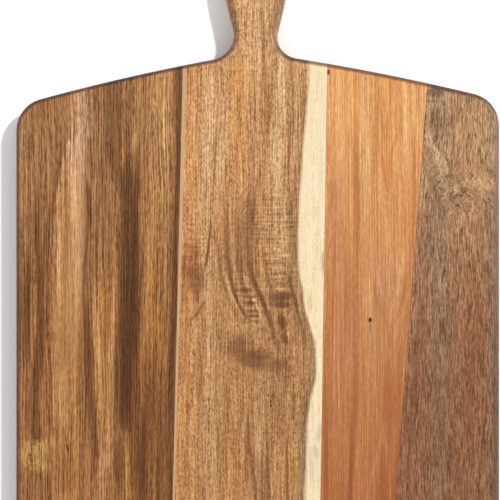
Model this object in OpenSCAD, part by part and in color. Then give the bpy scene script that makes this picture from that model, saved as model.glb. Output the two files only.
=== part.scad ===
// Paddle serving board, edge-glued from four planks and oiled.
// It lies flat on z = 0, with its length along Y and the handle towards +Y.
// The origin is at the middle of the length and of the width, on the underside.

/* [Board] */
// Overall length, from the bottom edge to the end of the handle
board_l = 559; // [500:1:640]
// Width across the straight sides
board_w = 305; // [290:1:330]
// Thickness of the planks
board_t = 18; // [14:0.5:24]
// Slope of each shoulder where it leaves the handle, in degrees
shoulder_slope = 9.7; // [5:0.1:15]
// Radius of the slight crown along each shoulder, which steepens it outwards
shoulder_crown_r = 1380; // [900:10:4000]
// Radius of the corners where the shoulders meet the sides
shoulder_corner_r = 20.5; // [10:0.5:40]
// Radius of the two corners at the bottom
bottom_corner_r = 20.5; // [10:0.5:40]
// Radius of the rounded-over edge round the body
body_edge_r = 3.2; // [1.5:0.1:5]

/* [Handle] */
// Width of the neck at its narrowest
neck_w = 26.9; // [22:0.5:34]
// Radius of the hollow between shoulder and neck
neck_hollow_r = 15.5; // [8:0.5:25]
// Radius of the hollow between neck and grip
grip_hollow_r = 12; // [8:0.5:30]
// Angle at which the grip flares out above the neck, in degrees
flare_angle = 16; // [10:0.5:20]
// Width of the grip at its widest
grip_w = 46; // [40:0.5:52]
// Radius of the two corners at the end of the handle
end_corner_r = 18; // [12:0.5:19]
// Radius of the crown between those two corners
end_crown_r = 32; // [27:1:60]
// Radius of the rounded-over edge round the grip
grip_edge_r = 5.8; // [3:0.1:6.5]
// Length up the handle over which the body's edge changes into the grip's
edge_blend_l = 30; // [15:1:45]

/* [Hanging hole] */
// Diameter of the hole
hole_d = 13; // [8:0.5:16]
// Distance from the middle of the hole to the end of the handle
hole_inset = 20; // [17:0.5:30]
// Width and depth of the chamfer at each mouth of the hole
hole_chamfer = 1.2; // [0.5:0.1:2]

/* [Planks] */
// Width of the plank that carries the handle, at the level where the sides end
handle_plank_w = 91.5; // [80:0.5:100]
// How far the middle of that plank lies to the right of the board's middle there
handle_plank_shift = -0.5; // [-5:0.1:5]
// Width of the plank to the right of it, at the same level
inner_right_plank_w = 61; // [50:0.5:75]
// Angle by which the left glue joint leans, in degrees, its top to the right
left_joint_angle = 1.35; // [-3:0.05:3]
// Angle by which the middle glue joint leans
middle_joint_angle = 0.9; // [-3:0.05:3]
// Angle by which the right glue joint leans
right_joint_angle = 4.4; // [0:0.05:6]
// Thickness of the cured glue in a joint
glue_t = 0.15; // [0.05:0.05:0.3]

/* [Hidden] */

// Most that a facet cuts inside the bend it follows
bend_error = 0.03;
// Facets across a rounded-over edge
edge_facets = 6;
// Facets of a full circle where the hole is drilled
hole_facets = 96;
// How far a cutting shape runs past what it cuts
overrun = 2;

// Half sizes that the outline is drawn from
side_x = board_w / 2;
neck_x = neck_w / 2;
grip_x = grip_w / 2;
handle_end_y = board_l / 2;
bottom_y = -board_l / 2;

// The grip's side is one large arc that meets the neck's hollow at the flare angle
grip_side_r = (grip_x - neck_x) / (1 - cos(flare_angle)) - grip_hollow_r;
// Rise from the neck to the widest place of the grip
grip_rise = (grip_side_r + grip_hollow_r) * sin(flare_angle);
// Rise from the middle of the crown's circle to that of the end corners
crown_rise = sqrt(pow(end_crown_r - end_corner_r, 2) - pow(grip_x - end_corner_r, 2));
// Angle at which an end corner passes into the crown
crown_angle = acos((grip_x - end_corner_r) / (end_crown_r - end_corner_r));

// Levels along Y, from the end of the handle down
grip_y = handle_end_y - end_crown_r + crown_rise;
neck_y = grip_y - grip_rise;
// The level where the shoulder runs into the neck's hollow
hollow_y = neck_y - neck_hollow_r * cos(shoulder_slope);

// Each shoulder is an arc that meets the neck's hollow at the shoulder's slope
shoulder_end = 90 - shoulder_slope;
shoulder_centre = [neck_x + neck_hollow_r, neck_y]
    - (neck_hollow_r + shoulder_crown_r) * [cos(shoulder_end), sin(shoulder_end)];
// Its angle at a place across the board, measured on its own circle
function shoulder_angle(x) = acos((x - shoulder_centre.x) / shoulder_crown_r);
// The corner's arc touches the side and, from within, the shoulder's arc
shoulder_corner_x = side_x - shoulder_corner_r;
shoulder_start = acos(
    (shoulder_corner_x - shoulder_centre.x) / (shoulder_crown_r - shoulder_corner_r)
);
side_end_y = shoulder_centre.y
    + (shoulder_crown_r - shoulder_corner_r) * sin(shoulder_start);

// Glue joints from left to right: place where the sides end, and angle
handle_plank_x = handle_plank_shift - handle_plank_w / 2;
joint_x = [
    handle_plank_x,
    handle_plank_x + handle_plank_w,
    handle_plank_x + handle_plank_w + inner_right_plank_w
];
joint_angle = [left_joint_angle, middle_joint_angle, right_joint_angle];

// Radius of the rounded-over edge at a level: the body's, the grip's or between
function blend(share) = share * share * (3 - 2 * share);
function edge_r(y) =
    let (share = max(0, min(1, (y - hollow_y) / edge_blend_l)))
    body_edge_r + (grip_edge_r - body_edge_r) * blend(share);

// A station of the outline is [place, outward vector, radius of the edge there].
// The outward vector is one long, or longer at a mitre, so that every edge that
// is set in by it stays parallel to the outline.
function station(place, outward) = [place, outward, edge_r(place.y)];

// Stations along an arc, without the last one, which belongs to what comes next.
// side is 1 where the arc bulges out of the board and -1 in a hollow.
function bend(centre, radius, from, to, side = 1) =
    let (steps = ceil(abs(to - from) / (2 * acos(1 - bend_error / radius))))
    [
        for (i = [0 : steps - 1])
            let (angle = from + (to - from) * i / steps)
            let (ray = [cos(angle), sin(angle)])
            station(centre + radius * ray, side * ray)
    ];

// The same stations on the other side of the middle line, in running order
function mirrored(stations) = [
    for (i = [len(stations) - 1 : -1 : 0])
        let (s = stations[i])
        [[-s[0].x, s[0].y], [-s[1].x, s[1].y], s[2]]
];

// The right side of the body, with both corners rounded
round_side = concat(
    bend([side_x - bottom_corner_r, bottom_y + bottom_corner_r], bottom_corner_r, -90, 0),
    [station([side_x, bottom_y + bottom_corner_r], [1, 0])],
    bend([shoulder_corner_x, side_end_y], shoulder_corner_r, 0, shoulder_start)
);

// The right side with mitred corners, for pieces that end before the corners
mitre = shoulder_angle(side_x);
square_side = concat(
    [station([side_x, bottom_y], [1, -1])],
    [station(shoulder_centre + shoulder_crown_r * [cos(mitre), sin(mitre)], [1, tan(mitre / 2)])],
    bend_after(shoulder_centre, shoulder_crown_r, mitre, shoulder_start)
);

// The same as bend, without the first station too
function bend_after(centre, radius, from, to) =
    let (stations = bend(centre, radius, from, to))
    [for (i = [1 : 1 : len(stations) - 1]) stations[i]];

// The shoulder between its corner and the neck's hollow
shoulder = bend(shoulder_centre, shoulder_crown_r, shoulder_start, shoulder_end);

// The right side of the handle, from the hollow to the crown of its end
handle_side = concat(
    bend(
        [neck_x + neck_hollow_r, neck_y],
        neck_hollow_r,
        180 + shoulder_end,
        180,
        side = -1
    ),
    bend([neck_x + grip_hollow_r, neck_y], grip_hollow_r, 180, 180 - flare_angle, side = -1),
    bend([grip_x - grip_side_r, grip_y], grip_side_r, -flare_angle, 0),
    bend([grip_x - end_corner_r, grip_y], end_corner_r, 0, crown_angle),
    bend([0, handle_end_y - end_crown_r], end_crown_r, crown_angle, 90)
);
crown = station([0, handle_end_y], [0, 1]);

// Without the handle, the shoulders run on to a ridge on the middle line, where they
// keep the body's edge although they lie above the level of the neck's hollow
ridge_angle = shoulder_angle(0);
ridge_side = [
    for (s = bend(shoulder_centre, shoulder_crown_r, shoulder_end, ridge_angle))
        [s[0], s[1], body_edge_r]
];
ridge = [
    shoulder_centre + shoulder_crown_r * [cos(ridge_angle), sin(ridge_angle)],
    [0, 1 / sin(ridge_angle)],
    body_edge_r
];

function whole_outline(right, top) = concat(right, [top], mirrored(right));
round_body = whole_outline(concat(round_side, shoulder, ridge_side), ridge);
square_body = whole_outline(concat(square_side, shoulder, ridge_side), ridge);
handled_body = whole_outline(concat(square_side, shoulder, handle_side), crown);

// How far in from the outline, and how high, each line of the edge runs.
// It goes round the lower edge, up the wall and round the upper edge.
function edge_line(k, radius) =
    let (upper = k > edge_facets)
    let (turn = 90 * (upper ? k - edge_facets - 1 : k) / edge_facets)
    upper
        ? [radius * (1 - cos(turn)), board_t - radius * (1 - sin(turn))]
        : [radius * (1 - sin(turn)), radius * (1 - cos(turn))];

// The flat of a slab, at one line of its edge: a ladder of triangles that joins each
// station to its twin across the middle line, up to the one station on that line
function rungs(count, lines, k) =
    let (top = (count - 1) / 2)
    let (corner = function(i) i * lines + k)
    let (ladder = [
        for (i = [0 : top - 1])
            let (twin = count - 1 - i)
            each i < top - 1
                ? [[i, i + 1, twin], [i + 1, twin - 1, twin]]
                : [[i, top, twin]]
    ])
    [
        for (t = ladder)
            k == 0
                ? [corner(t[0]), corner(t[1]), corner(t[2])]
                : [corner(t[2]), corner(t[1]), corner(t[0])]
    ];

// The slab inside an outline, with its rounded-over edges
module slab(outline) {
    lines = 2 * edge_facets + 2;
    count = len(outline);
    points = [
        for (s = outline)
            for (k = [0 : lines - 1])
                let (line = edge_line(k, s[2]))
                let (place = s[0] - s[1] * line[0])
                [place.x, place.y, line[1]]
    ];
    walls = [
        for (i = [0 : count - 1])
            for (k = [0 : lines - 2])
                let (a = i * lines + k)
                let (b = (i + 1) % count * lines + k)
                each [[a, a + 1, b + 1], [a, b + 1, b]]
    ];
    polyhedron(points, concat(walls, rungs(count, lines, 0), rungs(count, lines, lines - 1)));
}

// A glue joint's line, moved across the joint: its x at a level
function joint_line(j, y, across) =
    joint_x[j] + (y - side_end_y) * tan(joint_angle[j]) + across / cos(joint_angle[j]);

// The space between two lines along the board, each given as [x low, x high]
module between(left, right) {
    low = bottom_y - overrun;
    high = handle_end_y + overrun;
    translate([0, 0, -overrun])
        linear_extrude(board_t + 2 * overrun)
            polygon([[left[0], low], [right[0], low], [right[1], high], [left[1], high]]);
}

function joint_ends(j, across) = [
    joint_line(j, bottom_y - overrun, across),
    joint_line(j, handle_end_y + overrun, across)
];
function board_side(sign) = [sign * (side_x + overrun), sign * (side_x + overrun)];

// The hole with a chamfer at each mouth, turned round its own middle
module hanging_hole() {
    wall_r = hole_d / 2;
    mouth_r = wall_r + hole_chamfer;
    translate([0, handle_end_y - hole_inset, 0])
        rotate_extrude($fn = hole_facets)
            polygon([
                [0, -overrun],
                [mouth_r + overrun, -overrun],
                [wall_r, hole_chamfer],
                [wall_r, board_t - hole_chamfer],
                [mouth_r + overrun, board_t + overrun],
                [0, board_t + overrun]
            ]);
}

// The widest plank: brown heartwood, at the left side
module left_plank() {
    color("#96683f")
        intersection() {
            slab(round_body);
            between(board_side(-1), joint_ends(0, -glue_t / 2));
        }
}

// The plank that carries the handle, tan heartwood with a band of sapwood
module handle_plank() {
    color("#c08a5c")
        difference() {
            intersection() {
                slab(handled_body);
                between(joint_ends(0, glue_t / 2), joint_ends(1, -glue_t / 2));
            }
            hanging_hole();
        }
}

// The orange plank to the right of the handle
module inner_right_plank() {
    color("#cb8654")
        intersection() {
            slab(square_body);
            between(joint_ends(1, glue_t / 2), joint_ends(2, -glue_t / 2));
        }
}

// The greyish-brown plank at the right side
module right_plank() {
    color("#8c6144")
        intersection() {
            slab(round_body);
            between(joint_ends(2, glue_t / 2), board_side(1));
        }
}

// Cured glue in joint j, sanded flush with the planks on every side
module glue_line(j) {
    color("#4a2f1c")
        intersection() {
            slab(square_body);
            between(joint_ends(j, -glue_t / 2), joint_ends(j, glue_t / 2));
        }
}

left_plank();
handle_plank();
inner_right_plank();
right_plank();
glue_line(0);  // left_glue_line
glue_line(1);  // middle_glue_line
glue_line(2);  // right_glue_line
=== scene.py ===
import math
from functools import partial
from types import SimpleNamespace

import bmesh
import bpy
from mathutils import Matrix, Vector


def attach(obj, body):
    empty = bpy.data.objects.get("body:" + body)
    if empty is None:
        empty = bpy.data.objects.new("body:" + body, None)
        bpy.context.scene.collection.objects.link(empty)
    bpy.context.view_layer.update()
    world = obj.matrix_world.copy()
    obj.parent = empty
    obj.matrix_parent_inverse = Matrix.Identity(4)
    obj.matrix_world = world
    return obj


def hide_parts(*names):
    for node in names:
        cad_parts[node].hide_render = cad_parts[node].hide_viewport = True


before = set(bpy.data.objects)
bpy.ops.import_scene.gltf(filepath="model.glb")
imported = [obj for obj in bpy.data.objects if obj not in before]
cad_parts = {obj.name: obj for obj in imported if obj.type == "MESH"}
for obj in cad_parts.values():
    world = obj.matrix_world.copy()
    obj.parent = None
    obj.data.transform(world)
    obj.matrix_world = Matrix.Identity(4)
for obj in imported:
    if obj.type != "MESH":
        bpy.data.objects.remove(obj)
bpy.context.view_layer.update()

mm = 0.001


# sRGB hex to linear RGBA
def linear(hexColour):
    parts = [int(hexColour[i:i + 2], 16) / 255 for i in (1, 3, 5)]
    return tuple(c / 12.92 if c <= 0.04045 else ((c + 0.055) / 1.055) ** 2.4 for c in parts) + (1.0,)


# Adds one node with its settings. Values or links fill its open sockets in order, or by name from
# a dictionary, and its first open output comes back
def add(tree, kind, *values, **settings):
    made = tree.nodes.new("ShaderNode" + kind)
    for name, value in settings.items():
        setattr(made, name, value)
    if values and isinstance(values[0], dict):
        pairs = [(made.inputs[name], value) for name, value in values[0].items()]
    else:
        pairs = zip([socket for socket in made.inputs if socket.enabled], values)
    for socket, value in pairs:
        if isinstance(value, bpy.types.NodeSocket):
            tree.links.new(value, socket)
        else:
            socket.default_value = value
    return next((socket for socket in made.outputs if socket.enabled), None)


# Board shape
print("board shape")

# The board's own sizes in mm and degrees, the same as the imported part's
board = {
    "length": 559, "width": 305, "thickness": 18,
    "shoulderSlope": 9.7, "shoulderCrown": 1380, "corner": 20.5, "bodyEdge": 3.2,
    "neck": 26.9, "neckHollow": 15.5, "gripHollow": 12, "flare": 16,
    "grip": 46, "endCorner": 18, "endCrown": 32, "gripEdge": 5.8, "edgeBlend": 30,
    "hole": 13, "holeInset": 20, "holeChamfer": 1.2,
    "handlePlank": 91.5, "handlePlankShift": -0.5, "innerRightPlank": 61,
    "jointAngles": (1.35, 0.9, 4.4), "glue": 0.15,
}
# How finely it is made
making = {
    "edgeFacets": 14,        # across a rounded-over edge
    "bendError": 0.005,      # most that a facet cuts inside a bend, in mm
    "holeFacets": 160,
    "drillOver": 2,          # how far the drill runs past each face, in mm
    "cutTolerance": 1e-5,    # in mm
    "weldDistance": 1e-4,    # in mm
    "sharpAngle": 28,        # an edge that turns by more degrees stays crisp
}

# Arc centres, and the angles where one arc hands over to the next
sideX, neckX, gripX = board["width"] / 2, board["neck"] / 2, board["grip"] / 2
endY, bottomY, thick = board["length"] / 2, -board["length"] / 2, board["thickness"]
flare, slope = math.radians(board["flare"]), math.radians(board["shoulderSlope"])
gripSideR = (gripX - neckX) / (1 - math.cos(flare)) - board["gripHollow"]
gripRise = (gripSideR + board["gripHollow"]) * math.sin(flare)
crownRise = math.sqrt((board["endCrown"] - board["endCorner"]) ** 2 - (gripX - board["endCorner"]) ** 2)
crownAngle = math.acos((gripX - board["endCorner"]) / (board["endCrown"] - board["endCorner"]))
gripY = endY - board["endCrown"] + crownRise
neckY = gripY - gripRise
hollowY = neckY - board["neckHollow"] * math.cos(slope)
shoulderEnd = math.pi / 2 - slope
shoulderReach = board["neckHollow"] + board["shoulderCrown"]
shoulderX = neckX + board["neckHollow"] - shoulderReach * math.cos(shoulderEnd)
shoulderY = neckY - shoulderReach * math.sin(shoulderEnd)
cornerX = sideX - board["corner"]
shoulderStart = math.acos((cornerX - shoulderX) / (board["shoulderCrown"] - board["corner"]))
sideEndY = shoulderY + (board["shoulderCrown"] - board["corner"]) * math.sin(shoulderStart)


# The rounded-over edge grows smoothly from the body's radius to the grip's
def edgeRadius(y):
    share = max(0.0, min(1.0, (y - hollowY) / board["edgeBlend"]))
    return board["bodyEdge"] + (board["gripEdge"] - board["bodyEdge"]) * share * share * (3 - 2 * share)


# Stations along an arc, each a place and the direction that points out of the board
def bend(x, y, radius, start, end, side=1):
    steps = math.ceil(abs(end - start) / (2 * math.acos(1 - making["bendError"] / radius)))
    angles = [start + (end - start) * i / steps for i in range(steps)]
    return [((x + radius * math.cos(a), y + radius * math.sin(a)), (side * math.cos(a), side * math.sin(a)))
            for a in angles]


quarter = math.pi / 2
rightSide = (
    bend(cornerX, bottomY + board["corner"], board["corner"], -quarter, 0)
    + [((sideX, bottomY + board["corner"]), (1, 0))]
    + bend(cornerX, sideEndY, board["corner"], 0, shoulderStart)
    + bend(shoulderX, shoulderY, board["shoulderCrown"], shoulderStart, shoulderEnd)
    + bend(neckX + board["neckHollow"], neckY, board["neckHollow"], math.pi + shoulderEnd, math.pi, -1)
    + bend(neckX + board["gripHollow"], neckY, board["gripHollow"], math.pi, math.pi - flare, -1)
    + bend(gripX - gripSideR, gripY, gripSideR, -flare, 0)
    + bend(gripX - board["endCorner"], gripY, board["endCorner"], 0, crownAngle)
    + bend(0, endY - board["endCrown"], board["endCrown"], crownAngle, quarter)
)
leftSide = [((-x, y), (-nx, ny)) for (x, y), (nx, ny) in reversed(rightSide)]
outline = rightSide + [((0, endY), (0, 1))] + leftSide


# The whole board as one closed bmesh, in mm: a ring up the edge at each station, then both faces
def slabMesh():
    bm = bmesh.new()
    facets = making["edgeFacets"]
    rings = []
    for (x, y), (nx, ny) in outline:
        radius = edgeRadius(y)
        ring = []
        for k in range(2 * facets + 2):
            upper = k > facets
            turn = quarter * ((k - facets - 1) if upper else k) / facets
            inset = radius * (1 - (math.cos(turn) if upper else math.sin(turn)))
            z = thick - radius * (1 - math.sin(turn)) if upper else radius * (1 - math.cos(turn))
            ring.append(bm.verts.new((x - nx * inset, y - ny * inset, z)))
        rings.append(ring)
    count = len(rings)
    for i in range(count):
        a, b = rings[i], rings[(i + 1) % count]
        for k in range(len(a) - 1):
            bm.faces.new((a[k], b[k], b[k + 1], a[k + 1]))
    # The faces are strips from a station to its mirror image, with a triangle at the handle's end
    top = (count - 1) // 2
    for level in (0, -1):
        for i in range(top):
            corners = [rings[j][level] for j in (i, i + 1, count - 2 - i, count - 1 - i)]
            corners = corners[:2] + corners[3:] if i == top - 1 else corners
            bm.faces.new(corners if level else corners[::-1])
    bmesh.ops.recalc_face_normals(bm, faces=bm.faces)
    return bm


# Where the joints cross the line of the shoulders' ends
jointX = [board["handlePlankShift"] - board["handlePlank"] / 2]
jointX += [jointX[0] + board["handlePlank"], jointX[0] + board["handlePlank"] + board["innerRightPlank"]]


# Cuts the mesh this far to the right of a joint's plane, keeps one side and closes the cut
def cutAlong(bm, joint, across, keepRight):
    lean = math.radians(board["jointAngles"][joint])
    side = Vector((math.cos(lean), -math.sin(lean), 0))
    place = Vector((jointX[joint], sideEndY, 0)) + side * across
    everything = bm.verts[:] + bm.edges[:] + bm.faces[:]
    cut = bmesh.ops.bisect_plane(bm, geom=everything, dist=making["cutTolerance"], plane_co=place,
                                 plane_no=side, clear_inner=keepRight, clear_outer=not keepRight)
    rim = [g for g in cut["geom_cut"] if isinstance(g, bmesh.types.BMEdge)]
    bmesh.ops.edgeloop_fill(bm, edges=rim)


# Turns a bmesh in mm into an object in metres
def objectFrom(bm, name):
    bmesh.ops.recalc_face_normals(bm, faces=bm.faces)
    bmesh.ops.scale(bm, vec=(mm, mm, mm), verts=bm.verts)
    mesh = bpy.data.meshes.new(name)
    bm.to_mesh(mesh)
    bm.free()
    made = bpy.data.objects.new(name, mesh)
    bpy.context.scene.collection.objects.link(made)
    return made


def pieceFrom(bm, name, node):
    piece = objectFrom(bm, name)
    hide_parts(node)
    return piece


# Cuts the hanging hole, with a chamfer at each mouth, through the handle
def drillHole(piece):
    bm = bmesh.new()
    wall, chamfer, over = board["hole"] / 2, board["holeChamfer"], making["drillOver"]
    profile = [(0, -over), (wall + chamfer + over, -over), (wall, chamfer),
               (wall, thick - chamfer), (wall + chamfer + over, thick + over), (0, thick + over)]
    line = [bm.verts.new((r, 0, z)) for r, z in profile]
    edges = [bm.edges.new(pair) for pair in zip(line, line[1:])]
    bmesh.ops.spin(bm, geom=line + edges, cent=(0, 0, 0), axis=(0, 0, 1), angle=2 * math.pi,
                   steps=making["holeFacets"], use_merge=True)
    bmesh.ops.remove_doubles(bm, verts=bm.verts, dist=making["weldDistance"])
    bmesh.ops.translate(bm, vec=(0, endY - board["holeInset"], 0), verts=bm.verts)
    drill = objectFrom(bm, "drill")
    cut = piece.modifiers.new("hole", "BOOLEAN")
    cut.operation, cut.solver, cut.object = "DIFFERENCE", "EXACT", drill
    graph = bpy.context.evaluated_depsgraph_get()
    drilled = bpy.data.meshes.new_from_object(piece.evaluated_get(graph))
    piece.modifiers.clear()
    whole, drillMesh = piece.data, drill.data
    piece.data = drilled
    bpy.data.objects.remove(drill)
    bpy.data.meshes.remove(drillMesh)
    bpy.data.meshes.remove(whole)


def smoothRounds(piece):
    piece.data.shade_smooth()
    piece.data.set_sharp_from_angle(angle=math.radians(making["sharpAngle"]))
    even = piece.modifiers.new("evenNormals", "WEIGHTED_NORMAL")
    even.keep_sharp = True


halfGlue = board["glue"] / 2
planks = {}
for node, slotName, leftJoint, rightJoint in (
    ("left_plank", "brown_heartwood", None, 0),
    ("handle_plank", "tan_heartwood", 0, 1),
    ("inner_right_plank", "orange_heartwood", 1, 2),
    ("right_plank", "grey_brown_heartwood", 2, None),
):
    bm = slabMesh()
    if leftJoint is not None:
        cutAlong(bm, leftJoint, halfGlue, True)
    if rightJoint is not None:
        cutAlong(bm, rightJoint, -halfGlue, False)
    planks[node] = pieceFrom(bm, node + "_wood", node)
    if node == "handle_plank":
        drillHole(planks[node])

glueLines = []
for joint, node in enumerate(("left_glue_line", "middle_glue_line", "right_glue_line")):
    bm = slabMesh()
    cutAlong(bm, joint, -halfGlue, True)
    cutAlong(bm, joint, halfGlue, False)
    glueLines.append(pieceFrom(bm, node + "_film", node))

for piece in [*planks.values(), *glueLines]:
    smoothRounds(piece)
    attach(piece, "root")

# Wood
print("wood")

# The planks are acacia heartwood, sawn, planed, sanded flat and rubbed with food-safe oil. To the eye
# that gives deep warm tones, thin dark fibres and pores, a low satin gloss, and darker rounded edges
# and ends, which drink more oil and are also painted with shade. Real fibres and pores are 0.1 to 0.3
# mm wide. The finest are drawn 0.6 to 0.75 mm wide, because thinner ones don't show in the picture.

# What all four planks share, with lengths in mm. Levels are the two values of a noise from 0 to 1
# between which a mark goes from nothing to full
figure = {
    "driftSize": (60, 170, 50),      # width, length and depth of the plank's own waviness
    "follow": 0.3,                   # how much of that waviness the bands and veins follow
    "veinWidest": 20,                # most that a vein's half width may be
    "veinEdge": (1.25, 0.45),        # a vein fades out between these shares of its half width
    "fringe": 0.5,                   # how frayed a vein's edge is beside a spot's
    "spotCore": 0.4,                 # a spot is at full strength within this share of its radius
    "grainClip": 0.2, "fibreClip": 0.12, "fineClip": 0.12,      # noise this far off its middle is full
    "rippleLevels": (0.3, 0.7), "curlLevels": (0.36, 0.64), "poreLevels": (0.54, 0.66),
    "ringLevels": (0.38, 0.62), "knotSquash": 0.8, "knotFray": 2.5, "knotCore": 0.5,
    "lift": 1.4,                     # how strongly light fibres brighten
}
# The cured oil, and the darkened rounds and ends, partly oil soak and partly painted shade. Its pairs
# are levels of how squarely a surface faces up (face, brink) or along the board (end grain)
oilFinishAndEdgeShade = {
    "ior": 1.5,
    "fibreRough": 0.16, "edgeRough": 0.12,       # added roughness of raised fibres and of the rounds
    "bump": 0.5, "relief": 0.06,                 # strength, and depth in mm, of fibres and pores
    "rim": "#a08668",                            # the wood's colour is multiplied by this on the rounds and ends: oil soak and painted shade
    "faceEnds": (0.9995, 0.99), "brinkEnds": (0.4, 0.9),
    "endGrain": (0.05, 0.6), "endDepth": 0.9,
}


# Noise drawn out to fibres of this width, length and depth in mm
def fibres(wood, place, sizes, detail, roughness, seed):
    offset = (wood.look["seed"] + seed, 1.7 * seed, 0.6 * seed)
    scaled = wood.node("VectorMath", place, [1 / size for size in sizes], offset, operation="MULTIPLY_ADD")
    return wood.node("TexNoise", {"Vector": scaled, "Scale": 1.0, "Detail": detail, "Roughness": roughness})


# A soft oval with a frayed edge, full strength in its core and nothing at its rim
def spot(wood, across, x, y, halfWidth, halfLength, lean, strength, core=figure["spotCore"]):
    node = wood.node
    slope = math.tan(math.radians(lean))
    level = node("Math", wood.along, -slope, across, operation="MULTIPLY_ADD") if lean else across
    local = node("VectorMath", node("CombineXYZ", level, wood.along), (1 / halfWidth, 1 / halfLength, 0),
                 ((slope * y - x) / halfWidth, -y / halfLength, 0), operation="MULTIPLY_ADD")
    away = node("VectorMath", local, operation="LENGTH")
    away = node("Math", away, wood.ragged, operation="ADD")
    return node("MapRange", away, 1.0, core, 0.0, strength, interpolation_type="SMOOTHSTEP")


# A vein runs through points of x, y, half width and strength. One colour curve along the plank
# holds its middle in red, its half width in green and its strength in blue
def vein(wood, points):
    node = wood.node
    points = sorted(points, key=lambda point: point[1])
    (bottom, top), (left, right) = wood.look["reach"], wood.sides
    path = node("RGBCurve", 1.0, wood.height)
    channels = [
        [(x - left) / (right - left) for x, y, width, strength in points],
        [width / figure["veinWidest"] for x, y, width, strength in points],
        [strength for x, y, width, strength in points],
    ]
    for curve, channel in zip(path.node.mapping.curves, channels):
        while len(curve.points) < len(points):
            curve.points.new(0.5, 0.5)
        for knot, value, point in zip(curve.points, channel, points):
            knot.location = ((point[1] - bottom) / (top - bottom), value)
    path.node.mapping.update()
    parts = node("SeparateColor", path).node.outputs
    middle = node("Math", parts[0], right - left, left, operation="MULTIPLY_ADD")
    aside = node("Math", wood.flow, middle, operation="SUBTRACT")
    aside = node("Math", aside, operation="ABSOLUTE")
    width = node("Math", parts[1], figure["veinWidest"], operation="MULTIPLY")
    share = node("Math", aside, width, operation="DIVIDE")
    share = node("Math", share, wood.fringe, operation="ADD")
    share = node("MapRange", share, *figure["veinEdge"], 0.0, 1.0, interpolation_type="SMOOTHSTEP")
    return node("Math", share, parts[2], operation="MULTIPLY")


# Where the figure lies, in mm. It waves from side to side, and its edges fray along the fibres
def layGrain(wood):
    node, look = wood.node, wood.look
    coords = node("TexCoord").node.outputs
    wood.normal = coords["Normal"]
    inMm = node("VectorMath", coords["Object"], 1 / mm, operation="SCALE")
    place = node("SeparateXYZ", inMm).node.outputs
    wood.along = place["Y"]
    # The growth rings slant through the thickness, so the figure shifts from face to back
    depth = node("Math", place["Z"], thick, operation="SUBTRACT")
    wood.slanted = node("Math", depth, look["ringSlant"], place["X"], operation="MULTIPLY_ADD")
    flat = node("CombineXYZ", wood.slanted, wood.along)
    drift = fibres(wood, flat, figure["driftSize"], detail=1.0, roughness=0.5, seed=0)
    drift = node("Math", drift, 2 * look["drift"], -look["drift"], operation="MULTIPLY_ADD")
    sway = fibres(wood, flat, look["swaySize"], detail=2.0, roughness=0.5, seed=3)
    sway = node("Math", sway, 2 * look["sway"], -look["sway"], operation="MULTIPLY_ADD")
    wood.waves = node("Math", drift, sway, operation="ADD")
    wood.ragged = 0.0        # until there are fibres to fray a spot's edge
    for sizes, reach, *shape in look.get("ripples", []):
        ripple = fibres(wood, flat, sizes, detail=1.0, roughness=0.5, seed=41)
        ripple = node("MapRange", ripple, *figure["rippleLevels"], -reach, reach)
        rippled = spot(wood, wood.slanted, *shape)
        wood.waves = node("Math", ripple, rippled, wood.waves, operation="MULTIPLY_ADD")
    moved = node("Math", wood.slanted, wood.waves, operation="ADD")
    wood.grainPlace = node("CombineXYZ", moved, wood.along, place["Z"])
    wood.fibre = fibres(wood, wood.grainPlace, look["fibreSize"], detail=2.0, roughness=0.65, seed=7)
    wood.grain = fibres(wood, wood.grainPlace, look["grainSize"], detail=2.0, roughness=0.5, seed=23)
    wood.fine = fibres(wood, wood.grainPlace, look["fineSize"], detail=2.0, roughness=0.6, seed=11)
    ragged = node("Math", wood.fibre, wood.grain, operation="ADD")
    wood.ragged = node("Math", ragged, look["ragged"], -look["ragged"], operation="MULTIPLY_ADD")
    wood.fringe = node("Math", wood.ragged, figure["fringe"], operation="MULTIPLY")
    wood.fray = node("Math", wood.fibre, 2 * look["fray"], -look["fray"], operation="MULTIPLY_ADD")
    flow = node("Math", wood.slanted, wood.fray, operation="ADD")
    wood.flow = node("Math", wood.waves, figure["follow"], flow, operation="MULTIPLY_ADD")


# Bands across the width, then veins along the plank, then streaks
def paintFigure(wood):
    node, look, tone = wood.node, wood.look, wood.tone
    left, right = wood.sides
    bands = node("ValToRGB", node("MapRange", wood.flow, left, right))
    ramp = bands.node.color_ramp
    ramp.interpolation = "EASE"
    while len(ramp.elements) < len(look["bands"]):
        ramp.elements.new(0.5)
    for stop, (where, name) in zip(ramp.elements, look["bands"]):
        stop.position = (where - left) / (right - left)
        stop.color = tone[name]
    colour = bands
    wood.up = node("MapRange", wood.along, *look["reach"])
    wood.height = node("CombineColor", wood.up, wood.up, wood.up)
    for name, *points in look["veins"]:
        colour = node("Mix", vein(wood, points), colour, tone[name], data_type="RGBA")
    for *shape, name, strength in look["streaks"]:
        colour = node("Mix", spot(wood, wood.flow, *shape, strength), colour, tone[name], data_type="RGBA")
    wood.colour = colour


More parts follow.
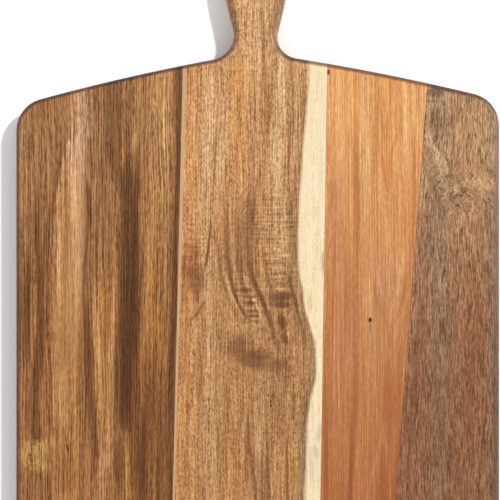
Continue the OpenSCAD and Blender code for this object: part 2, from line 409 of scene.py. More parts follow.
# Sapwood starts to the right of a wavy border, and the heartwood darkens towards it
def markSapwood(wood):
    node, sap = wood.node, wood.look["sapwood"]
    bottom, top = wood.look["reach"]
    lowX, highX = sap["box"]
    border = node("FloatCurve", 1.0, wood.up)
    points = border.node.mapping.curves[0].points
    while len(points) < len(sap["border"]):
        points.new(0.5, 0.5)
    for point, (borderX, borderY) in zip(points, sap["border"]):
        point.location = ((borderY - bottom) / (top - bottom), (borderX - lowX) / (highX - lowX))
    border.node.mapping.update()
    edge = node("Math", border, highX - lowX, lowX, operation="MULTIPLY_ADD")
    wander = node("Math", wood.waves, wood.fray, operation="ADD")
    wander = node("Math", wander, sap["fray"], wood.slanted, operation="MULTIPLY_ADD")
    wood.past = node("Math", wander, edge, operation="SUBTRACT")
    near = node("MapRange", wood.past, -sap["shadeWidth"], -sap["shadeFull"], interpolation_type="SMOOTHSTEP")
    lower = node("MapRange", wood.along, sap["shadeTop"], sap["shadeLow"], sap["shadeLeast"], 1.0,
                 interpolation_type="SMOOTHSTEP")
    shade = node("Math", near, lower, operation="MULTIPLY")
    shade = node("Math", shade, sap["shade"], operation="MULTIPLY")
    wood.colour = node("Mix", shade, wood.colour, wood.tone["border"], data_type="RGBA")


# Slow change of tone along the plank
def fadeAlong(wood):
    topY, lowY, name = wood.look["fade"]
    share = wood.node("MapRange", wood.along, topY, lowY)
    wood.colour = wood.node("Mix", share, wood.colour, wood.tone[name], data_type="RGBA",
                            blend_type="MULTIPLY")


# Grain and fibres as light and dark lines of three sizes: 1 is the ground, less is darker
def drawLines(wood):
    node, look = wood.node, wood.look
    lines = {"grain": wood.grain, "fibre": wood.fibre, "fine": wood.fine}
    light = 1 - 0.5 * sum(look[size + "Contrast"] for size in lines)
    for size, line in lines.items():
        clip = figure[size + "Clip"]
        line = node("MapRange", line, 0.5 - clip, 0.5 + clip)
        light = node("Math", line, look[size + "Contrast"], light, operation="MULTIPLY_ADD")
    # Calm places, where the lines are faint
    for *shape, strength in look.get("calm", []):
        light = node("Mix", spot(wood, wood.slanted, *shape, strength), light, 1.0, data_type="FLOAT")
    wood.light = light


# Curl: light and dark bars across the grain, where the fibres run in waves
def curlGrain(wood):
    node, curl = wood.node, wood.look["curl"]
    bars = fibres(wood, wood.grainPlace, curl["size"], detail=2.0, roughness=0.6, seed=31)
    bars = node("MapRange", bars, *figure["curlLevels"], -curl["strength"], curl["strength"])
    where = 0.0
    for shape in curl["spots"]:
        where = node("Math", spot(wood, wood.slanted, *shape), where, operation="MAXIMUM")
    wood.light = node("Math", bars, where, wood.light, operation="MULTIPLY_ADD")


# Rings round a knot, longer than wide
def ringKnots(wood):
    node, squash = wood.node, figure["knotSquash"]
    for x, y, radius, spacing, strength in wood.look.get("knots", []):
        local = node("VectorMath", node("CombineXYZ", wood.flow, wood.along), (1, squash, 0),
                     (-x, -squash * y, 0), operation="MULTIPLY_ADD")
        away = node("VectorMath", local, operation="LENGTH")
        away = node("Math", wood.ragged, figure["knotFray"], away, operation="MULTIPLY_ADD")
        rings = node("TexNoise", {"W": away, "Scale": 1 / spacing, "Detail": 2.0, "Roughness": 0.6},
                     noise_dimensions="1D")
        rings = node("MapRange", rings, *figure["ringLevels"], -strength, strength)
        where = spot(wood, wood.slanted, x, y, radius, radius / squash, 0, 1.0, figure["knotCore"])
        wood.light = node("Math", rings, where, wood.light, operation="MULTIPLY_ADD")


# Pores: short dark dashes, deeper in some places
def cutPores(wood):
    node, look = wood.node, wood.look
    pores = fibres(wood, wood.grainPlace, look["poreSize"], detail=1.0, roughness=0.5, seed=17)
    depth = look["poreDepth"]
    for *shape, extra in look.get("speckles", []):
        depth = node("Math", spot(wood, wood.slanted, *shape, extra), depth, operation="ADD")
    pores = node("MapRange", pores, *figure["poreLevels"])
    wood.pores = node("Math", pores, depth, operation="MULTIPLY")
    wood.light = node("Math", wood.light, wood.pores, operation="SUBTRACT")


# Light lines brighten the colour, and dark ones stain it
def tintLines(wood):
    node, tone = wood.node, wood.tone
    wood.dip = node("MapRange", wood.light, 1.0, 0.0, 0.0, wood.look["dip"])
    lift = node("MapRange", wood.light, 1.0, 2.0, 0.0, figure["lift"])
    colour = node("Mix", lift, wood.colour, tone["lineLight"], data_type="RGBA", blend_type="DODGE")
    wood.colour = node("Mix", wood.dip, colour, tone["lineDark"], data_type="RGBA")


# Sapwood, smoother and nearly without pores
def paintSapwood(wood):
    node, sap, tone = wood.node, wood.look["sapwood"], wood.tone
    low = node("MapRange", wood.grain, *sap["lowLevels"], 0.0, sap["lowShare"])
    pale = node("Mix", low, tone["cream"], tone["creamLow"], data_type="RGBA")
    for *shape, name, strength in sap["marks"]:
        pale = node("Mix", spot(wood, wood.flow, *shape, strength), pale, tone[name], data_type="RGBA")
    lines = node("Math", wood.dip, sap["contrast"], operation="MULTIPLY")
    pale = node("Mix", lines, pale, tone["sapLine"], data_type="RGBA")
    isPale = node("MapRange", wood.past, -sap["softness"], sap["softness"], interpolation_type="SMOOTHSTEP")
    wood.colour = node("Mix", isPale, wood.colour, pale, data_type="RGBA")


# A sliver of sapwood along the left joint, narrower towards the bottom
def paintSliver(wood):
    node, sliver = wood.node, wood.look["sliver"]
    lean = math.tan(math.radians(board["jointAngles"][0]))
    fromJoint = node("Math", wood.slanted, jointX[0] - lean * sideEndY, operation="SUBTRACT")
    fromJoint = node("Math", wood.along, -lean, fromJoint, operation="MULTIPLY_ADD")
    width = node("MapRange", wood.along, *sliver["widthHeights"], *sliver["widths"])
    high = node("MapRange", wood.along, *sliver["toneHeights"])
    pale = node("Mix", high, *[wood.tone[name] for name in sliver["tones"]], data_type="RGBA")
    inside = node("Math", width, fromJoint, operation="SUBTRACT")
    share = node("MapRange", inside, *sliver["softness"], 0.0, sliver["strength"],
                 interpolation_type="SMOOTHSTEP")
    wood.colour = node("Mix", share, wood.colour, pale, data_type="RGBA")


# Rounded edges and ends painted darker, for the extra oil they drink and as painted shade, most of all where
# the face ends
def soakAndShadeEdges(wood):
    node, look, rim = wood.node, wood.look, linear(oilFinishAndEdgeShade["rim"])
    normal = node("SeparateXYZ", wood.normal).node.outputs
    turned = node("Math", normal["Z"], operation="ABSOLUTE")
    offFace = node("MapRange", turned, *oilFinishAndEdgeShade["faceEnds"], interpolation_type="SMOOTHSTEP")
    nearFace = node("MapRange", turned, *oilFinishAndEdgeShade["brinkEnds"], interpolation_type="SMOOTHSTEP")
    atBrink = node("Math", offFace, nearFace, operation="MULTIPLY")
    wood.onEdge = node("MapRange", turned, *oilFinishAndEdgeShade["faceEnds"], 0.0, look["rimDepth"],
                       interpolation_type="SMOOTHSTEP")
    # How much the rounds are darkened: oil soak and painted shade together
    soakAndShade = node("Math", atBrink, look["brinkDepth"], wood.onEdge, operation="MULTIPLY_ADD")
    colour = node("Mix", soakAndShade, wood.colour, rim, data_type="RGBA", blend_type="MULTIPLY")
    # Ends that face along the board get the same darkening: end grain soaking oil, and painted shade
    ends = node("Math", normal["Y"], operation="ABSOLUTE")
    ends = node("MapRange", ends, *oilFinishAndEdgeShade["endGrain"], 0.0, oilFinishAndEdgeShade["endDepth"],
                interpolation_type="SMOOTHSTEP")
    wood.colour = node("Mix", ends, colour, rim, data_type="RGBA", blend_type="MULTIPLY")


# Satin gloss, duller on the raised fibres and the sanded rounds, over a slight relief
def oilSurface(wood):
    node, fibreRough = wood.node, oilFinishAndEdgeShade["fibreRough"]
    relief = node("Math", wood.fibre, wood.pores, operation="SUBTRACT")
    bump = node("Bump", {"Strength": oilFinishAndEdgeShade["bump"], "Distance": oilFinishAndEdgeShade["relief"] * mm,
                         "Height": relief})
    rough = node("Math", wood.fibre, fibreRough, wood.look["roughness"] - fibreRough / 2,
                 operation="MULTIPLY_ADD")
    rough = node("Math", wood.onEdge, oilFinishAndEdgeShade["edgeRough"], rough, operation="MULTIPLY_ADD")
    shader = node("BsdfPrincipled", {"Base Color": wood.colour, "Roughness": rough, "IOR": oilFinishAndEdgeShade["ior"],
                                     "Normal": bump})
    node("OutputMaterial", {"Surface": shader})


# Each stage reads what the ones before it made. The order matters to the renderer too: where too
# many values wait to be read, a material with this many nodes comes out black
def woodMaterial(look):
    material = bpy.data.materials.new(look["name"])
    material.use_nodes = True
    material.node_tree.nodes.clear()
    wood = SimpleNamespace(look=look, node=partial(add, material.node_tree))
    wood.tone = {name: linear(value) for name, value in look["tones"].items()}
    wood.sides = (look["bands"][0][0], look["bands"][-1][0])
    layGrain(wood)
    paintFigure(wood)
    if "sapwood" in look:
        markSapwood(wood)
    fadeAlong(wood)
    drawLines(wood)
    if "curl" in look:
        curlGrain(wood)
    ringKnots(wood)
    cutPores(wood)
    tintLines(wood)
    if "sapwood" in look:
        paintSapwood(wood)
    if "sliver" in look:
        paintSliver(wood)
    soakAndShadeEdges(wood)
    oilSurface(wood)
    return material


# What a wood's dictionary says, in mm, with x across the board and y up towards the handle
# tones: colours in sRGB hex; lineDark and lineLight are those of the fibres
# reach: lowest and highest y of the veins; fade: from y to y, and the tone that it is multiplied by
# bands: x and tone of each stop across the plank; veins: tone, then points (x, y, half width, strength)
# streaks, marks: x, y, half width, half length, lean in degrees, tone, strength
# spots of calm, speckles and curl: x, y, half width, half length, lean in degrees, strength
# ripples: size, how far they go aside, then a spot; knots: x, y, radius, ring spacing, strength
# swaySize, grainSize and the other sizes: width, length, depth
# drift, sway, fray: how far waves and fibres go aside; ragged: how torn the edge of a spot is
# ringSlant: how far the rings go aside for each mm of depth; seed: which stretch of noise it takes
# the contrasts, poreDepth: how strong the lines are; dip: how dark they stain
# rimDepth, brinkDepth: how much darker the rounds are painted, for oil soak and for shade, and where they
# start; roughness: of the face

# Left plank: brown acacia with dark and golden stripes, and a small knot low on the left
leftWood = {
    "name": "oiledAcaciaBrown",
    "tones": {
        "brown": "#98683f", "dark": "#7c4e2b", "deep": "#613b1c", "umber": "#502f15", "pit": "#20120a",
        "tan": "#b17f4d", "gold": "#ba864c", "pale": "#d2a26e", "straw": "#c99c60", "pink": "#c3936f",
        "amber": "#a26d38", "orange": "#b3702f", "rust": "#9a5a34", "grey": "#a88d70", "low": "#efe4d2",
        "lineDark": "#3b200e", "lineLight": "#a4aeb8",
    },
    "reach": (-160, 130), "fade": (120, 20, "low"),
    "bands": [
        (-153, "dark"), (-149, "brown"), (-84, "brown"), (-76, "dark"), (-70, "brown"), (-55, "brown"),
        (-48, "dark"),
    ],
    "veins": [
        ("tan", (-110.8, 160, 5, 0.6), (-112.1, 140, 5, 0.6), (-114, 121, 6.3, 0.7),
         (-116, 96, 8.2, 0.85), (-117.3, 64, 9.4, 0.9), (-118.5, 32, 10.1, 0.9), (-119.8, 1, 10.1, 0.85),
         (-119.8, -31, 9.4, 0.9), (-120.5, -56, 10.1, 0.75), (-119.8, -101, 8.8, 0.4)),
        ("pink", (-108.3, 163, 5.7, 0.8), (-108.3, 146, 5.7, 0.75), (-111.5, 127, 5.7, 0.75),
         (-112.8, 108, 5.7, 0.8), (-112.8, 89, 5, 0.85), (-112.8, 64, 4.7, 0.85), (-113.4, 39, 4.4, 0.75),
         (-114, 13, 3.8, 0.5), (-115.3, -12, 3.1, 0)),
        ("pink", (-93.5, 1, 3.1, 0), (-94.2, -21, 4.4, 0.5), (-94.2, -44, 3.8, 0.5),
         (-93.5, -63, 3.8, 0.4), (-98, -88, 5, 0.5), (-99.3, -104, 5, 0.4)),
        ("pale", (-112.8, 108, 1.9, 0), (-113.4, 92, 3.1, 0.6), (-114, 67, 4.1, 0.75),
         (-115.3, 32, 4.4, 0.65), (-116, 4, 3.8, 0.4), (-117.3, -25, 3.8, 0.3), (-118.5, -50, 3.8, 0)),
        ("pale", (-125.6, 102, 1.9, 0), (-126.3, 83, 2.5, 0.5), (-123.7, 51, 3.1, 0.5),
         (-123.7, 26, 3.8, 0.5), (-125, -3, 3.8, 0.35), (-123.7, -31, 5, 0.6), (-123.7, -53, 5, 0.3),
         (-123.7, -69, 3.8, 0)),
        ("pale", (-115.3, 158, 0.9, 0), (-116, 153, 1, 0.5), (-117.3, 137, 1.3, 0.5),
         (-118.5, 124, 1.4, 0.5), (-120.5, 115, 1.6, 0.45), (-123, 103, 1.9, 0.3), (-125.6, 89, 1.9, 0)),
        ("dark", (-121.1, 127, 1.3, 0), (-123, 115, 1.9, 0.7), (-125.6, 102, 1.9, 0.85),
         (-128.8, 86, 1.9, 0.85), (-131.4, 70, 1.9, 0.75), (-133.3, 51, 1.9, 0.6), (-134, 32, 1.3, 0)),
        ("deep", (-138.5, 108, 1.9, 0), (-138.5, 86, 2.5, 0.6), (-137.8, 58, 2.8, 0.85),
         (-135.9, 26, 3.1, 0.9), (-135.9, 1, 3.5, 0.85), (-139.8, -28, 5, 0.65), (-141.1, -50, 5, 0.5),
         (-136.5, -63, 4.4, 0.4), (-134, -79, 3.8, 0)),
        ("gold", (-140.1, 58, 0.6, 0), (-139.8, 46, 0.8, 0.9), (-139.8, 13, 0.8, 0.8),
         (-139.4, 2, 0.6, 0)),
        ("grey", (-107, 161, 1.6, 0.5), (-107, 146, 2, 0.55), (-107.6, 130, 1.9, 0.4),
         (-107, 115, 1.3, 0)),
        ("umber", (-104.4, 152, 0.9, 0), (-104.4, 141, 1.3, 0.3), (-104.4, 127, 1.5, 0.35),
         (-103.8, 111, 1.6, 0.3), (-103.8, 102, 1.3, 0)),
        ("umber", (-105.7, 103, 0.9, 0), (-105.1, 92, 1.8, 0.8), (-104.4, 78, 1.8, 0.8),
         (-105.7, 64, 1.3, 0.5), (-107.6, 48, 1, 0.5), (-108.3, 32, 1, 0.4), (-108.3, 20, 0.9, 0)),
        ("deep", (-107, 26, 1.3, 0), (-106.4, 10, 2.2, 0.7), (-105.7, -6, 2.8, 0.85),
         (-105.1, -25, 3.1, 0.65), (-103.8, -44, 3.1, 0.65), (-101.9, -63, 2.5, 0.5),
         (-99.9, -85, 2.5, 0.3), (-98.7, -104, 1.9, 0.3)),
        ("pale", (-102.5, 45, 0.9, 0), (-101.2, 29, 1.9, 0.5), (-99.9, 4, 2.5, 0.6),
         (-99.3, -21, 2.5, 0.5), (-98.7, -47, 1.9, 0.3), (-98, -66, 1.3, 0)),
        ("rust", (-95.5, 42, 1.3, 0), (-94.8, 31, 2.5, 0.7), (-94.2, 16, 3.1, 0.8), (-94.8, 4, 2.5, 0.7),
         (-94.8, -7, 1.6, 0)),
        ("pale", (-89.1, 42, 0.9, 0), (-89.7, 26, 1.4, 0.6), (-90.3, 4, 1.9, 0.7), (-92.3, -15, 3.1, 0.7),
         (-92.3, -37, 3.1, 0.6), (-91.6, -63, 2.5, 0.4), (-90.3, -85, 1.9, 0)),
        ("tan", (-95.5, -3, 3.8, 0), (-95.5, -21, 5, 0.7), (-94.8, -44, 5, 0.6), (-94.2, -63, 5, 0.3),
         (-92.9, -82, 3.8, 0)),
        ("deep", (-89.1, 166, 5.7, 0.5), (-90.3, 146, 6.9, 0.65), (-89.7, 124, 7.6, 0.7),
         (-84, 105, 7.6, 0.8), (-79.5, 86, 6.3, 0.85), (-79.8, 57, 6.6, 0.85), (-80.1, 26, 6.9, 0.85),
         (-80.8, -6, 7.2, 0.9), (-81.4, -34, 6.9, 0.9), (-81.4, -53, 6.3, 0.5), (-81.4, -69, 5, 0)),
        ("umber", (-74.4, 108, 1.3, 0), (-75.7, 89, 2.5, 0.55), (-76.3, 67, 3.1, 0.5),
         (-78.2, 32, 3.8, 0.45), (-80.1, -6, 4.4, 0.55), (-82, -31, 4.4, 0.6), (-82.7, -56, 3.1, 0)),
        ("brown", (-90.3, 102, 3.8, 0), (-90.3, 76, 4.4, 0.3), (-91.6, 51, 3.8, 0.3), (-92.9, 32, 3.1, 0)),
        ("gold", (-73.7, 170, 3.1, 0.55), (-74.4, 155, 3.1, 0.5), (-75.7, 136, 2.2, 0.4),
         (-76.9, 121, 1.3, 0)),
        ("tan", (-59.7, 173, 9.4, 0.75), (-59.1, 139, 9.4, 0.75), (-59.1, 108, 8.2, 0.8),
         (-61, 79, 8.2, 0.85), (-62.3, 51, 8.2, 0.9), (-63.6, 26, 8.2, 0.85), (-64.2, 1, 6.3, 0.55),
         (-64.2, -21, 5.7, 0.25), (-64.2, -40, 5.7, 0)),
        ("gold", (-59.1, 168, 1.9, 0), (-58.5, 146, 2.5, 0.6), (-58.5, 120, 2.5, 0.6),
         (-59.7, 95, 1.9, 0.4), (-60.4, 76, 1.9, 0)),
        ("umber", (-45.4, 178, 2, 0.6), (-46.7, 145, 1.9, 0.5), (-48.3, 114, 1.5, 0.5),
         (-49.9, 76, 1.5, 0.55), (-51.5, 26, 1.8, 0.65), (-52.1, -25, 2.3, 0.65), (-52.7, -62, 2.5, 0.6),
         (-53.1, -103, 2.5, 0.6)),
        ("dark", (-64.8, -3, 3.8, 0), (-64.2, -31, 8.2, 0.8), (-63.6, -62, 9.4, 0.9),
         (-64.8, -88, 8.8, 0.85), (-64.8, -103, 8.2, 0.8)),
        ("deep", (-69.9, -37, 1.9, 0), (-70.6, -62, 2.5, 0.6), (-70.6, -88, 2.5, 0.6),
         (-70.6, -103, 2.5, 0.5)),
        ("gold", (-62.9, -56, 1.3, 0), (-63.6, -72, 1.9, 0.5), (-64.2, -88, 1.9, 0.5),
         (-64.2, -103, 1.9, 0.4)),
        ("amber", (-80.1, -56, 1.9, 0), (-80.1, -70, 3.1, 0.8), (-79.5, -88, 3.8, 0.8),
         (-78.8, -104, 3.8, 0.8)),
        ("gold", (-81.4, -63, 0.9, 0), (-81.4, -78, 1.5, 0.6), (-80.8, -104, 1.6, 0.6)),
    ],
    "streaks": [
        (-139.1, 121.1, 10.1, 37.8, 0, "brown", 0.5), (-145.6, 16.5, 5, 50.4, 0, "deep", 0.7),
        (-132.7, 140.1, 4.4, 22.7, 8, "amber", 0.5), (-123.7, 89.3, 2.5, 25.2, 6, "tan", 0.5),
        (-127.5, 79.8, 2.5, 21.4, 2, "dark", 0.5), (-96.7, 95.5, 4.4, 37.8, 0, "dark", 0.35),
        (-96.1, 13.3, 6.9, 47.2, 0, "gold", 0.55), (-95.5, -37.3, 5, 37.8, 0, "tan", 0.6),
        (-84, 116.8, 2.1, 11.3, 0, "orange", 0.75), (-76.3, 126.9, 2.1, 16.4, 0, "pale", 0.25),
        (-56.6, 136.1, 1.3, 28.4, 0, "pale", 0.6), (-63.6, 142.5, 1.3, 25.2, 0, "pale", 0.5),
        (-62.3, 13.2, 7.6, 44.1, 0, "amber", 0.55), (-64.8, -49.8, 3.8, 50.4, 0, "dark", 0.4),
        (-139.8, -73.6, 11.3, 12, 0, "straw", 0.65), (-146.9, -69.2, 5.7, 10.1, 15, "straw", 0.35),
        (-134, -66.6, 8.8, 7.6, 30, "straw", 0.5), (-137.8, -79.3, 8.2, 5.7, -10, "straw", 0.45),
        (-143.3, -72.3, 1.4, 1.9, 0, "pit", 0.7), (-142.3, -74.2, 3.8, 3.8, 0, "dark", 0.25),
        (-136.5, -93.2, 12.6, 10.1, 0, "brown", 0.4), (-119.2, -83, 8.2, 17.6, 0, "dark", 0.45),
        (-80.8, -81.4, 1.3, 18.9, 0, "straw", 0.5), (-71.2, -78.2, 3.1, 28.4, 0, "deep", 0.55),
        (-85.9, -80.2, 4.4, 22.7, 0, "deep", 0.6), (-119.5, -64.6, 0.6, 8.8, -9, "pit", 0.9),
    ],
    "knots": [(-141.5, -72.3, 14, 1, 0.32)],
    "calm": [(-115, 30, 14, 110, 3, 0.5), (-92, -10, 9, 55, 0, 0.35)],
    "ringSlant": 0.9, "seed": 1, "drift": 2.5, "swaySize": (14, 60, 14), "sway": 2, "fray": 1.5,
    "ragged": 0.9, "grainSize": (3.2, 110, 3.2), "grainContrast": 0.35, "fibreSize": (0.6, 70, 0.6),
    "fibreContrast": 1.5, "fineSize": (0.7, 5, 0.7), "fineContrast": 0.95, "poreSize": (0.7, 6, 0.7),
    "poreDepth": 0.1, "dip": 0.8, "rimDepth": 0.2, "brinkDepth": 0.4, "roughness": 0.36,
}

